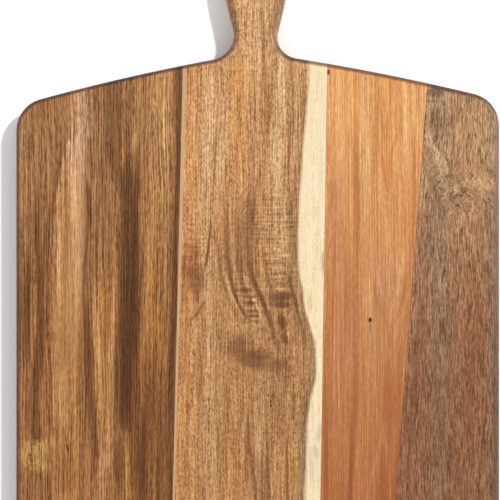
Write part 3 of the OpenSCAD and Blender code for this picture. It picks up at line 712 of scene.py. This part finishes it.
# Handle plank: tan acacia, dark veins and curl round a knot shadow, a cream sapwood band
handleWood = {
    "name": "oiledAcaciaTan",
    "tones": {
        "tan": "#be8a59", "light": "#d8ac7a", "orange": "#c98f57", "straw": "#cda775", "blush": "#ca9967",
        "brown": "#93663f", "deep": "#754b30", "umber": "#5d3c24", "rust": "#a3673a", "grey": "#8c7360",
        "ochre": "#b98338", "cream": "#f3e1bf", "creamLow": "#ebd2a6", "border": "#94805f",
        "sliverTop": "#c8a17b", "sliverLow": "#cba47a", "yellow": "#e0b862", "greyMark": "#8d8468",
        "low": "#e8e5e0", "lineDark": "#683616", "lineLight": "#a0aebc", "sapLine": "#c9ab74",
    },
    "reach": (-160, 290), "fade": (110, 20, "low"),
    "bands": [(-50, "orange"), (-40, "orange"), (-34, "tan"), (-28, "blush"), (-22, "tan"), (46, "tan")],
    "veins": [
        ("light", (-0.2, 226, 18.9, 0.55), (-0.2, 208, 13.9, 0.55), (-0.2, 186, 12.6, 0.5),
         (-0.2, 167, 8.8, 0.2), (-0.2, 154, 6.3, 0)),
        ("orange", (-8.4, 227, 1.3, 0.6), (-7.8, 208, 1.3, 0.6), (-7.1, 189, 1.5, 0.6),
         (-7.1, 170, 1.9, 0.5), (-7.8, 158, 1.9, 0)),
        ("brown", (4.8, 226, 0.9, 0.5), (4.8, 201, 0.9, 0.5), (6.1, 176, 1, 0.5), (6.7, 161, 1, 0.3),
         (6.7, 151, 0.9, 0)),
        ("light", (-26.7, 174, 2.5, 0.4), (-27.4, 152, 3.1, 0.45), (-28.6, 126, 3.1, 0.45),
         (-30.5, 101, 2.8, 0.45), (-31.2, 79, 2.5, 0.3), (-32.4, 57, 1.9, 0)),
        ("orange", (-9, 175, 6.9, 0.6), (-9.7, 145, 7.6, 0.85), (-9.7, 120, 6.9, 0.75),
         (-10.3, 95, 5, 0.3), (-10.3, 79, 5, 0)),
        ("straw", (17.4, 175, 3.8, 0.7), (16.2, 151, 4.1, 0.8), (14.9, 132, 4.4, 0.8),
         (14.3, 113, 4.4, 0.7), (14.3, 95, 3.8, 0.3), (14.3, 79, 3.8, 0)),
        ("brown", (22.4, 176, 2.5, 0.3), (24.3, 151, 3.1, 0.2), (26.2, 126, 3.8, 0.2),
         (26.2, 101, 5, 0.35), (23.7, 76, 5.7, 0.4), (22.4, 57, 5.7, 0.25), (22.4, 38, 3.8, 0)),
        ("straw", (26.8, 176, 1.3, 0.4), (26.2, 151, 1.3, 0.5), (25.6, 126, 1.3, 0.5), (25, 107, 1.3, 0)),
        ("brown", (8.6, 169, 3.1, 0.3), (9.2, 151, 2.5, 0.5), (8, 132, 2.2, 0.4), (5.5, 113, 2.5, 0.2),
         (4.8, 101, 2.5, 0)),
        ("umber", (-21, 173, 0.5, 0.3), (-21, 159, 0.6, 0.5), (-22.3, 149, 0.6, 0.1),
         (-23.9, 136, 0.6, 0.2), (-24.5, 120, 0.6, 0.5), (-25.5, 101, 0.6, 0.45), (-26.7, 87, 0.6, 0.2),
         (-27.7, 74, 0.8, 0.6), (-28.9, 61, 0.9, 0.8), (-30.5, 50, 0.9, 0.8), (-32.4, 42, 0.6, 0)),
        ("umber", (23.7, 154, 0.5, 0), (23.1, 140, 0.8, 0.35), (22.1, 120, 0.9, 0.5),
         (21.8, 100, 0.9, 0.45), (22.4, 82, 0.6, 0.2), (23.1, 71, 0.5, 0)),
        ("brown", (-26.1, 73, 1.3, 0), (-23.6, 57, 1.4, 0.6), (-21, 43, 1.4, 0.7), (-17.9, 31, 1.3, 0.7),
         (-14.1, 21, 1.3, 0.5), (-10.3, 14, 1.3, 0)),
        ("brown", (-17.9, 95, 1.9, 0), (-17.2, 73, 1.9, 0.8), (-16.6, 54, 1.9, 1), (-14.7, 38, 1.8, 1),
         (-11.6, 27, 1.6, 1), (-7.1, 18, 1.5, 0.9), (-2.7, 12, 1.3, 0)),
        ("deep", (-16.6, 57, 0.8, 0), (-15, 41, 1, 0.6), (-11.9, 28, 1, 0.7), (-7.8, 19, 0.9, 0.5),
         (-4.6, 14, 0.6, 0)),
        ("brown", (-10.3, 89, 2.5, 0), (-10.3, 67, 2.5, 0.7), (-9.7, 50, 2.5, 0.8), (-7.1, 36, 1.9, 0.7),
         (-3.4, 26, 1.6, 0.4), (-0.2, 18, 1.3, 0)),
        ("brown", (-1.5, 120, 2.5, 0), (-1.5, 101, 2.8, 0.4), (-2.1, 79, 3.1, 0.8), (-3.7, 60, 2.8, 0.9),
         (-2.7, 46, 2.5, 1), (1.1, 34, 2.1, 1), (5.5, 24, 2, 1), (9.2, 14, 1.9, 1), (12.4, 2, 1.6, 0.9),
         (15.5, -9, 1.3, 0)),
        ("deep", (-2.7, 54, 1.3, 0), (-1.5, 43, 1.4, 0.7), (1.7, 33, 1.5, 0.8), (5.5, 24, 1.4, 0.8),
         (8.6, 14, 1.3, 0.6), (10.5, 7, 1, 0)),
        ("brown", (4.8, 63, 1.3, 0), (6.1, 50, 1.5, 0.6), (9.2, 37, 1.5, 0.7), (13, 26, 1.6, 0.7),
         (16.8, 14, 1.6, 0.7), (19.9, 2, 1.5, 0.5), (22.4, -9, 1.3, 0)),
        ("light", (-7.1, 43, 0.9, 0), (-4.6, 35, 1.1, 0.6), (-0.2, 26, 1.1, 0.7), (3.6, 17, 1, 0.6),
         (7.4, 7, 0.9, 0)),
        ("light", (-20.4, 60, 0.9, 0), (-19.1, 46, 1, 0.5), (-16, 33, 1, 0.6), (-11.6, 23, 1, 0.6),
         (-7.1, 14, 0.9, 0)),
        ("straw", (15.5, 110, 5.7, 0), (16.2, 95, 6.9, 0.5), (16.8, 66, 7.6, 0.6), (17.4, 56, 6.9, 0.6),
         (16.8, 44, 5.7, 0.55), (16.8, 35, 3.8, 0)),
        ("umber", (20.6, 49, 0.9, 0), (22.4, 38, 1.2, 0.6), (25, 28, 1.4, 0.75), (27.5, 18, 1.4, 0.7),
         (30, 7, 1.3, 0.6), (31.2, -6, 1.3, 0.45), (31.5, -19, 1.3, 0.25), (30.6, -34, 1.3, 0)),
        ("rust", (-45.8, 57, 1.3, 0), (-41.9, 50, 5, 0.6), (-39.4, 43, 7.6, 0.7), (-38.1, 37, 7.6, 0.7),
         (-40.7, 28, 6.3, 0.5), (-43.2, 20, 3.1, 0)),
        ("deep", (-31.8, 26, 0.9, 0), (-34.3, 20, 1.5, 0.6), (-37.5, 16, 1.6, 0.6), (-40.7, 11, 1.4, 0.3),
         (-42.6, 4, 0.6, 0)),
        ("orange", (-43.2, 10, 3.8, 0), (-42.6, -12, 5, 0.7), (-41.9, -50, 5.7, 0.8),
         (-40.7, -103, 6.3, 0.8)),
        ("light", (-35.6, 13, 1.3, 0), (-38.1, -3, 1.6, 0.5), (-38.8, -37, 1.6, 0.5),
         (-38.8, -75, 1.6, 0.4), (-38.8, -103, 1.3, 0.3)),
        ("brown", (-40, 7, 0.6, 0), (-41.3, -12, 0.9, 0.5), (-41.9, -50, 0.9, 0.5),
         (-41.9, -103, 0.9, 0.4)),
        ("light", (-29.9, 1, 1.9, 0), (-29.3, -25, 3.1, 0.3), (-28.6, -56, 3.1, 0.3),
         (-29.3, -87, 2.5, 0.25), (-29.3, -103, 2.5, 0.15)),
        ("brown", (-25.5, -25, 0.9, 0), (-24.2, -50, 1.3, 0.35), (-22.9, -75, 1.5, 0.4),
         (-20.4, -103, 1.9, 0.45)),
        ("orange", (-14.1, -56, 5, 0), (-14.7, -78, 6.3, 0.7), (-14.7, -103, 6.9, 0.8)),
        ("straw", (4.8, -15, 1.9, 0), (4.2, -34, 3.1, 0.4), (3.6, -56, 3.1, 0.4), (2.3, -75, 1.9, 0)),
        ("umber", (-4.6, -43, 0.6, 0), (-4, -56, 0.9, 0.6), (-2.7, -68, 1.4, 0.6), (-0.8, -82, 1.5, 0.6),
         (1.1, -103, 1.6, 0.6)),
        ("umber", (7.4, -53, 0.6, 0), (8.6, -67, 0.8, 0.6), (8.9, -84, 1, 0.65), (9.9, -103, 1.3, 0.65)),
        ("deep", (5.5, -65, 1.3, 0), (5.8, -80, 2.5, 0.4), (6.1, -103, 3.8, 0.5)),
        ("umber", (20.6, -59, 0.6, 0), (20.2, -71, 0.7, 0.55), (20.6, -87, 0.8, 0.6),
         (20.6, -103, 0.9, 0.6)),
        ("umber", (33.1, -34, 0.6, 0), (31.5, -49, 0.8, 0.5), (30.6, -68, 0.8, 0.5), (30, -103, 0.8, 0.4)),
        ("grey", (30, -37, 1.9, 0), (29.3, -56, 3.1, 0.15), (29.3, -81, 3.1, 0.2), (29.3, -103, 3.1, 0.2)),
    ],
    "streaks": [
        (-39.4, 120.2, 3.8, 69.3, 1, "orange", 0.85), (-32.4, 120.1, 2.2, 56.7, 1, "blush", 0.7),
        (-32.4, 66.7, 2.5, 37.8, 2, "blush", 0.6), (-21, 126.3, 3.1, 44.1, 0, "straw", 0.65),
        (-11.6, 138.8, 5.7, 50.4, 0, "orange", 0.7), (-2.7, 151.2, 2.5, 37.8, 0, "tan", 0.5),
        (6.1, 151.1, 4.4, 37.8, 0, "rust", 0.1), (13.6, 113.4, 2.5, 25.2, 0, "straw", 0.4),
        (26.2, 144.6, 2.5, 37.8, 1, "brown", 0.2), (30.6, 138.3, 1.3, 37.8, 2, "umber", 0.4),
        (-39.4, 49.7, 7.6, 22.7, 0, "rust", 0.75), (-35.6, 35.2, 5, 13.9, 10, "brown", 0.7),
        (-41.3, 22.7, 3.8, 13.9, 10, "orange", 0.9), (-31.8, 32.1, 2.5, 12.6, -10, "straw", 0.5),
        (9.9, 79, 21.4, 25.2, 0, "brown", 0.22), (23.7, 63.2, 5.7, 37.8, 0, "brown", 0.3),
        (-2.7, 65.9, 8.8, 29, 0, "brown", 0.55), (-40, 42.8, 6.3, 5.7, 0, "deep", 0.5),
        (-33.7, 37.1, 2.2, 6.9, 0, "umber", 0.45), (-4.6, 32, 5, 1.8, -8, "deep", 0.8),
        (-2.7, 27.6, 5.7, 1.5, -8, "deep", 0.7), (-2.1, 23.8, 5.7, 1.8, -8, "umber", 0.8),
        (-1.5, 18.8, 5.7, 1.2, -8, "deep", 0.75), (-0.2, 15.7, 5.7, 1.2, -8, "deep", 0.75),
        (1.1, 12.5, 5.7, 1, -8, "brown", 0.8), (18, 28.2, 10.1, 3.8, -4, "umber", 0.75),
        (17.4, 22.6, 9.4, 2.8, -4, "umber", 0.75), (15.5, 25.7, 8.8, 4.4, 0, "deep", 0.6),
        (17.4, 36.3, 8.8, 1.4, -4, "brown", 0.8), (15.5, 42, 9.4, 1.3, -2, "brown", 0.7),
        (13.6, 48.9, 10.1, 1.3, 0, "brown", 0.6), (16.2, 45.4, 7.6, 1.3, 0, "straw", 0.5),
        (16.8, 32.6, 6.9, 1.1, -4, "straw", 0.45), (17.4, 11.9, 4.4, 5.7, -10, "deep", 0.85),
        (19.9, 1.3, 3.1, 3.8, -10, "deep", 0.75), (-10.3, -2.5, 10.1, 9.4, 20, "brown", 0.85),
        (-2.1, -11.9, 12.6, 8.8, -25, "brown", 0.95), (4.8, -8.2, 10.1, 5, -15, "deep", 0.5),
        (-9.7, -3.8, 7.6, 6.9, 0, "deep", 0.3), (1.1, -11.3, 10.1, 6.3, 0, "deep", 0.35),
        (11.8, -16.3, 8.2, 4.4, 0, "deep", 0.4), (14.3, -14.4, 9.4, 5.7, -5, "brown", 0.8),
        (-9, 8.8, 20.2, 3.1, -4, "straw", 0.35), (-29.9, -37.1, 2.5, 56.7, 0, "light", 0.6),
        (-26.1, -55.9, 3.1, 44.1, 0, "light", 0.3), (-33.1, -21.4, 0.9, 28.4, 2, "brown", 0.3),
        (-40.7, -56, 3.1, 69.3, 0.5, "orange", 0.6), (-36.2, -81.2, 1.9, 31.5, 0, "orange", 0.6),
        (-14.1, -81, 7.6, 31.5, 0, "orange", 0.55), (-17.9, -87.3, 1.6, 25.2, 0, "rust", 0.5),
        (4.8, -52.7, 3.1, 22.7, 0, "straw", 0.25), (-4, -73.4, 4.4, 31.5, 0, "brown", 0.45),
        (16.2, -37, 10.1, 37.8, 0, "brown", 0.25), (24.3, -79.5, 3.8, 13.9, 0, "ochre", 0.7),
        (27.5, -62, 1.9, 37.8, 0, "straw", 0.3),
    ],
    "calm": [(0, -12, 20, 13, -25, 0.6)],
    "speckles": [(16, -35, 20, 60, 0, 0.5), (-8, -5, 22, 18, 0, 0.3), (8, 120, 26, 50, 0, 0.15)],
    "curl": {
        "size": (14, 1.5, 14), "strength": 0.38,
        "spots": [
            (10, 75, 24, 26, 0, 1), (16, 48, 20, 24, -6, 1), (-38, 60, 12, 24, 0, 0.9),
            (-2, 30, 16, 26, -15, 0.8), (-8, 190, 10, 60, 0, 0.45), (0, -10, 22, 14, 0, 0.5),
            (20, -30, 12, 20, 0, 0.4),
        ],
    },
    # Its width and tone change from the first height to the second; softness is where its edge fades
    "sliver": {
        "widthHeights": (-100, 140), "widths": (1.3, 2.6),
        "toneHeights": (-100, 60), "tones": ("sliverLow", "sliverTop"),
        "softness": (-0.5, 0.7), "strength": 0.9,
    },
    # The border runs through points of x and y, with every x inside the box. The heartwood starts to
    # darken shadeWidth before it, is darkest shadeFull before it, and pales from shadeLow up to
    # shadeTop. softness is half the width of the blur at the border, and contrast how strong the
    # lines are beside the heartwood. The grain gives creamLow its share between the two lowLevels
    "sapwood": {
        "box": (20, 45), "softness": 1.3, "fray": 0.8, "contrast": 0.7,
        "shade": 0.45, "shadeWidth": 8, "shadeFull": 1, "shadeTop": 110, "shadeLow": 20, "shadeLeast": 0.3,
        "lowLevels": (0.35, 0.65), "lowShare": 0.6,
        "border": [
            (33, -160), (32.4, -97), (32.9, -76), (33.4, -56), (35, -40), (37.1, -29), (39.2, -19),
            (38.6, -4), (36.1, 7), (31.9, 22), (30.6, 33), (28.1, 49), (28.1, 70), (34.6, 174), (37, 290),
        ],
        "marks": [
            (35, 23.8, 2.5, 7.6, 0, "yellow", 0.6), (43.1, 49.4, 1.4, 8.8, 0, "greyMark", 0.55),
            (41.3, -56.9, 2.5, 8.8, 10, "greyMark", 0.3), (38.7, -69.4, 2.5, 6.3, -10, "greyMark", 0.3),
            (35.6, -77.6, 1.9, 15.8, 0, "greyMark", 0.25), (38.1, 80.7, 2.5, 5.7, 0, "greyMark", 0.14),
            (39.4, 66.3, 3.1, 6.3, 20, "greyMark", 0.1), (38.1, -71.3, 5.7, 37.8, 0, "greyMark", 0.1),
            (37.5, 113.2, 3.1, 7.6, 0, "yellow", 0.12),
        ],
    },
    "ringSlant": -0.7, "seed": 5, "drift": 1.5, "swaySize": (12, 45, 12), "sway": 1.2, "fray": 0.8,
    "ragged": 0.6, "grainSize": (3, 70, 3), "grainContrast": 0.3, "fibreSize": (0.6, 30, 0.6),
    "fibreContrast": 0.95, "fineSize": (0.75, 2.3, 0.75), "fineContrast": 0.85, "poreSize": (0.7, 3, 0.7),
    "poreDepth": 0.2, "dip": 0.85, "rimDepth": 0.34, "brinkDepth": 0.25, "roughness": 0.36,
}

# Inner right plank: plain orange acacia with fine red veins and a pin knot
orangeWood = {
    "name": "oiledAcaciaOrange",
    "tones": {
        "orange": "#d89a5f", "red": "#c07a46", "rust": "#a9623a", "light": "#e0ab72", "glow": "#e2924c",
        "honey": "#dda45a", "blush": "#d0906a", "dark": "#38200f", "low": "#c4aaa2",
        "lineDark": "#8f4f26", "lineLight": "#a0aebc",
    },
    "reach": (-160, 130), "fade": (150, -90, "low"),
    "bands": [(40, "orange"), (106, "orange")],
    "veins": [
        ("light", (70, 172, 3.1, 0.6), (70, 144, 3.8, 0.7), (70, 113, 3.8, 0.7), (70, 82, 3.1, 0.5),
         (70, 57, 3.1, 0.3), (71.2, 26, 3.8, 0.5), (72.5, -6, 3.8, 0.5), (71.2, -37, 3.8, 0.4),
         (70, -68, 3.1, 0.3)),
        ("rust", (62.5, 150, 1.3, 0), (63.1, 119, 1.6, 0.2), (63.7, 88, 1.9, 0.3), (63.7, 51, 2.1, 0.35),
         (63.7, 13, 1.9, 0.35), (62.5, -24, 2.5, 0.45), (61.9, -56, 2.5, 0.5), (60.6, -81, 1.9, 0.6),
         (59.4, -102, 1.9, 0.6)),
        ("light", (52.5, 57, 0.6, 0), (52.5, 32, 1.1, 0.9), (52.8, -6, 1.1, 0.95), (53.8, -37, 1.1, 0.9),
         (54.4, -56, 0.6, 0)),
        ("red", (47.5, 88, 1.9, 0.3), (46.9, 51, 2.1, 0.6), (46.3, 1, 2.3, 0.7), (45.6, -37, 2.3, 0.75),
         (45, -103, 1.9, 0.6)),
        ("red", (74.3, 153, 0.9, 0), (76.2, 138, 1.1, 0.75), (78.7, 119, 1.3, 0.85),
         (81.8, 103, 1.4, 0.85), (84.3, 91, 1.3, 0)),
        ("red", (90.5, 163, 0.9, 0.5), (88.7, 147, 1.3, 0.8), (86.8, 131, 1.3, 0.8),
         (85.5, 116, 1.3, 0.8), (84.3, 97, 1.3, 0)),
        ("glow", (83.7, 138, 2.5, 0), (83.7, 119, 3.1, 0.5), (83.7, 103, 2.5, 0.5), (83.7, 94, 1.9, 0)),
        ("light", (75, 66, 0.6, 0), (76.2, 49, 1.1, 0.8), (78.7, 35, 1.3, 1), (82.4, 22, 1.1, 1),
         (84.3, 13, 0.6, 0)),
        ("light", (93.6, 66, 0.6, 0), (92.4, 49, 1.3, 0.8), (89.9, 35, 1.3, 1), (86.2, 22, 1.1, 1),
         (84.3, 13, 0.6, 0)),
        ("red", (71.9, 57, 0.9, 0), (73.1, 41, 1.4, 0.5), (76.2, 27, 1.4, 0.6), (80.6, 16, 1.3, 0.5),
         (83.7, 7, 0.9, 0)),
        ("red", (96.1, 49, 0.9, 0), (93.6, 32, 1.4, 0.5), (90.5, 18, 1.5, 0.6), (86.2, 7, 1.5, 0.6),
         (84.9, -6, 1.3, 0)),
        ("light", (83.7, 54, 3.8, 0), (84.3, 41, 5, 0.5), (84.3, 31, 3.1, 0.4), (84.3, 22, 1.9, 0)),
        ("red", (89.9, 13, 1.3, 0), (88.7, -2, 2.5, 0.15), (86.2, -21, 5, 0.45), (85.5, -37, 5, 0.5),
         (86.2, -52, 3.8, 0)),
        ("light", (81.8, -50, 0.6, 0), (79.3, -60, 1.1, 0.9), (76.8, -71, 1.1, 0.9),
         (73.7, -84, 1.1, 0.9), (70.6, -99, 1.1, 0.8)),
        ("light", (81.8, -50, 0.6, 0), (82.4, -65, 0.9, 0.8), (83.7, -80, 0.9, 0.8),
         (85.5, -99, 0.9, 0.7)),
        ("red", (80.6, -65, 0.6, 0), (80.6, -77, 2.5, 0.5), (79.3, -99, 4.4, 0.6)),
        ("rust", (90.5, -55, 0.9, 0), (89.3, -74, 1.6, 0.3), (88, -102, 1.9, 0.35)),
        ("red", (104.2, 119, 1.9, 0), (101.7, 88, 2.5, 0.3), (98.6, 50, 2.5, 0.35), (95.5, 7, 2.5, 0.4),
         (93, -31, 2.5, 0.45), (90.5, -62, 2.5, 0.45), (88, -102, 2.5, 0.45)),
    ],
    "streaks": [
        (60, 144.2, 6.9, 31.5, 0, "honey", 0.5), (79.9, 140.9, 12.6, 37.8, 0, "honey", 0.45),
        (98, 131.3, 5.7, 31.5, 2, "honey", 0.35), (50.6, 72.5, 5.7, 44.1, 0, "blush", 0.5),
        (82.4, 34.9, 11.3, 28.4, 0, "blush", 0.5), (57.5, 6.9, 9.4, 44.1, 0, "blush", 0.35),
        (54.4, 119.3, 3.8, 69.3, 0, "light", 0.35), (63.7, 88, 3.1, 100.8, 0, "red", 0.55),
        (70.6, 119.1, 3.1, 69.3, 0, "light", 0.6), (72.5, 25.6, 2.5, 56.7, 0, "light", 0.35),
        (81.8, 134.6, 2.5, 34.6, -3, "red", 0.5), (96.1, 137.6, 5, 37.8, 2, "light", 0.55),
        (99.8, 100.2, 1.9, 56.7, 3.5, "glow", 0.5), (103.5, 140.6, 2.5, 25.2, 3.5, "light", 0.5),
        (49.4, 25.6, 1.3, 107.1, 1, "red", 0.4), (72.5, 13.1, 1.6, 2.4, 0, "dark", 1),
        (72.5, 8.1, 1, 5, 0, "rust", 0.6), (46.6, 168.1, 1.3, 2.5, 0, "dark", 0.9),
        (84.9, -36.8, 7.6, 31.5, 0, "red", 0.4), (88.7, 25.5, 3.1, 37.8, 4, "light", 0.4),
        (53.8, -68.1, 1.3, 37.8, 0.5, "light", 0.35), (94.2, -24.3, 2.5, 37.8, 3, "light", 0.3),
    ],
    "ringSlant": 0.6, "seed": 9, "drift": 1.2, "swaySize": (12, 90, 12), "sway": 0.5, "fray": 0.35,
    "ragged": 0.6, "grainSize": (4, 120, 4), "grainContrast": 0.25, "fibreSize": (0.6, 60, 0.6),
    "fibreContrast": 0.75, "fineSize": (0.75, 4, 0.75), "fineContrast": 0.42, "poreSize": (0.7, 5, 0.7),
    "poreDepth": 0.1, "dip": 0.85, "rimDepth": 0.2, "brinkDepth": 0.4, "roughness": 0.38,
}

# Right plank: greyish-brown acacia with a ripple in the grain and short dark pores
rightWood = {
    "name": "oiledAcaciaGreyBrown",
    "tones": {
        "brown": "#af825a", "grey": "#a88360", "light": "#bf986b", "straw": "#c9a071", "dark": "#7c583c",
        "umber": "#4d3a30", "red": "#a06843", "rust": "#9c6038", "greyGreen": "#77705a", "low": "#c8b4aa",
        "lineDark": "#482c1a", "lineLight": "#a0aebc",
    },
    "reach": (-160, 130), "fade": (150, -40, "low"),
    "bands": [(80, "brown"), (100, "brown"), (115, "grey"), (130, "brown"), (140, "brown"), (152, "grey")],
    "veins": [
        ("straw", (108.5, 132, 1.9, 0), (110.4, 122, 3.1, 0.5), (114.7, 113, 3.8, 0.6),
         (119.6, 103, 3.8, 0.7), (124.6, 95, 3.8, 0.7), (129.5, 89, 3.1, 0.4), (134.5, 84, 2.5, 0)),
        ("dark", (106, 119, 1.3, 0), (107.9, 106, 1.9, 0.4), (111.6, 95, 2.5, 0.5), (115.9, 85, 2.5, 0.4),
         (119.6, 75, 1.9, 0)),
        ("umber", (121.5, 114, 1.3, 0), (122.1, 103, 1.9, 0.35), (123.3, 91, 1.9, 0.35),
         (125.2, 81, 1.3, 0)),
        ("greyGreen", (149.2, 125, 0.9, 0), (148.9, 75, 1.1, 0.3), (148.9, 13, 1.4, 0.35),
         (148.9, -49, 1.5, 0.4), (148.9, -102, 1.5, 0.4)),
        ("dark", (102.9, 26, 1.3, 0), (101.7, 1, 2.5, 0.4), (99.8, -37, 2.5, 0.4), (98, -68, 1.9, 0.3),
         (96.1, -102, 1.9, 0.3)),
        ("light", (120.9, 25, 1.9, 0), (120.9, 7, 3.8, 0.3), (119.6, -18, 3.8, 0.3), (118.4, -43, 2.5, 0)),
        ("red", (134.5, 50, 3.8, 0), (136.9, 19, 6.3, 0.5), (136.9, -18, 6.3, 0.5), (134.5, -49, 5, 0.3),
         (133.2, -74, 3.8, 0)),
        ("umber", (143.1, -49, 0.6, 0), (142.5, -61, 0.8, 0.5), (141.2, -80, 0.8, 0.5),
         (140, -99, 0.8, 0.3)),
    ],
    "streaks": [
        (112.2, 154.8, 13.9, 5, -8, "umber", 0.6), (111, 149.2, 5.7, 1.9, 0, "umber", 0.5),
        (116.5, 141.7, 6.9, 3.8, 0, "light", 0.4), (115.9, 137.4, 11.3, 13.9, 0, "dark", 0.6),
        (117.2, 112.5, 5.7, 10.1, -30, "light", 0.25), (123.3, 95.7, 7.6, 5, -40, "straw", 0.45),
        (143.1, 98.6, 12.6, 7.6, 0, "straw", 0.8), (139.4, 124.7, 10.1, 21.4, 0, "light", 0.35),
        (146.2, 78.7, 3.8, 12.6, 0, "dark", 0.2), (106.6, 97, 3.8, 25.2, 4, "light", 0.35),
        (112.2, 67.8, 7.6, 25.2, 5, "dark", 0.3), (128.3, 75.1, 8.8, 22.7, 0, "light", 0.25),
        (139.4, 0.6, 7.6, 37.8, 0, "red", 0.4), (134.5, -36.6, 3.8, 37.8, 0, "red", 0.35),
        (122.1, 6.8, 7.6, 31.5, 0, "dark", 0.3), (103.5, -5.6, 5, 44.1, 3, "rust", 0.3),
        (149.9, 6.8, 1.3, 119.7, 0, "greyGreen", 0.3), (145.6, 31.6, 1.9, 18.9, 0, "dark", 0.4),
        (140.6, -80, 7.6, 18.9, 0, "light", 0.25), (125.2, -67.7, 6.3, 25.2, 0, "dark", 0.3),
    ],
    "ripples": [((5, 3.2, 5), 1.3, 132, 92, 32, 22, 0, 1), ((5, 3.2, 5), 1.2, 114, 108, 17, 34, -30, 1)],
    "ringSlant": -1.1, "seed": 14, "drift": 2.5, "swaySize": (12, 32, 12), "sway": 2.4, "fray": 1,
    "ragged": 0.8, "grainSize": (4, 40, 4), "grainContrast": 0.2, "fibreSize": (0.6, 12, 0.6),
    "fibreContrast": 1.25, "fineSize": (0.7, 3.2, 0.7), "fineContrast": 0.8, "poreSize": (0.7, 4, 0.7),
    "poreDepth": 0.12, "dip": 0.9, "rimDepth": 0.2, "brinkDepth": 0.4, "roughness": 0.4,
}
for node, look in (("left_plank", leftWood), ("handle_plank", handleWood), ("inner_right_plank", orangeWood),
                   ("right_plank", rightWood)):
    planks[node].data.materials.append(woodMaterial(look))

# Glue
print("glue")

# Wood glue, squeezed thin between the planks, cured and sanded flush: a dark brown satin hairline
glueLook = {"colour": "#4a2f1c", "roughness": 0.4, "ior": 1.47}
glue = bpy.data.materials.new("curedWoodGlue")
glue.use_nodes = True
glueShader = glue.node_tree.nodes["Principled BSDF"]
glueShader.inputs["Base Color"].default_value = linear(glueLook["colour"])
glueShader.inputs["Roughness"].default_value = glueLook["roughness"]
glueShader.inputs["IOR"].default_value = glueLook["ior"]
for piece in glueLines:
    piece.data.materials.append(glue)

# Floor, light and camera
print("floor, light, camera")

studio = {
    "floorColour": "#f0f0f0", "floorSeen": 1.13,       # share of light that the floor returns to the camera
    "floorHalf": 6,                                   # in m, far past the picture's edges
    "floorDrop": 0.05,                                # mm under the board, so that the two never touch
    "keyFrom": (15.3, 8.5, 18.0), "keyStrength": 2.05, "keyAngle": 3.2,
    # Brightness of the room from the horizon (0) up to overhead (1), dim behind the camera
    "room": [(0.0, 0.22), (0.4, 0.85), (0.75, 0.95), (0.88, 0.5), (0.96, 0.12), (1.0, 0.05)],
}
# Matte white paper, uncoated: plain white to the camera, with no gloss and a soft shadow
half = studio["floorHalf"]
corners = [(-half, -half, 0), (half, -half, 0), (half, half, 0), (-half, half, 0)]
floorMesh = bpy.data.meshes.new("floor")
floorMesh.from_pydata(corners, [], [(0, 1, 2, 3)])
floor = bpy.data.objects.new("floor", floorMesh)
floor.location.z = -studio["floorDrop"] * mm
bpy.context.scene.collection.objects.link(floor)
floorPaper = bpy.data.materials.new("matteWhitePaper")
floorPaper.use_nodes = True
floorTree = floorPaper.node_tree
floorTree.nodes.clear()
toCamera = add(floorTree, "LightPath").node.outputs["Is Camera Ray"]
floorSeen = [studio["floorSeen"]] * 3 + [1.0]
white = add(floorTree, "Mix", toCamera, linear(studio["floorColour"]), floorSeen, data_type="RGBA")
paper = add(floorTree, "BsdfDiffuse", white)
add(floorTree, "OutputMaterial", {"Surface": paper})
floorMesh.materials.append(floorPaper)

keyData = bpy.data.lights.new("key", "SUN")
keyData.energy = studio["keyStrength"]
keyData.angle = math.radians(studio["keyAngle"])
key = bpy.data.objects.new("key", keyData)
key.rotation_euler = Vector(studio["keyFrom"]).to_track_quat("Z", "Y").to_euler()
bpy.context.scene.collection.objects.link(key)

# Overhead softboxes: the room is brighter above than at the horizon, and plain white to the camera
world = bpy.data.worlds.new("studio")
bpy.context.scene.world = world
world.use_nodes = True
sky = world.node_tree
sky.nodes.clear()
direction = add(sky, "TexCoord").node.outputs["Generated"]
glow = add(sky, "ValToRGB", add(sky, "SeparateXYZ", direction).node.outputs["Z"])
heights = glow.node.color_ramp.elements
while len(heights) < len(studio["room"]):
    heights.new(0.5)
for stop, (height, level) in zip(heights, studio["room"]):
    stop.position, stop.color = height, (level, level, level, 1)
seen = add(sky, "LightPath").node.outputs["Is Camera Ray"]
strength = add(sky, "Mix", seen, glow, 1.0, data_type="FLOAT")
room = add(sky, "Background", (1, 1, 1, 1), strength)
add(sky, "OutputWorld", {"Surface": room})

# Nearly straight down from 1.2 m, 5.5 degrees off the normal, with the right side nearer
lens = {"distance": 1.2, "yaw": 5.5, "focal": 137.7, "sensor": 36, "shiftX": -0.0087, "shiftY": 0.182}
cameraData = bpy.data.cameras.new("camera")
cameraData.lens = lens["focal"]
cameraData.sensor_width = lens["sensor"]
cameraData.shift_x, cameraData.shift_y = lens["shiftX"], lens["shiftY"]
camera = bpy.data.objects.new("camera", cameraData)
yaw = math.radians(lens["yaw"])
camera.location = (lens["distance"] * math.sin(yaw), 0, thick * mm + lens["distance"] * math.cos(yaw))
camera.rotation_euler = (0, yaw, 0)
bpy.context.scene.collection.objects.link(camera)
bpy.context.scene.camera = camera
bpy.context.scene.view_settings.view_transform = "Standard"
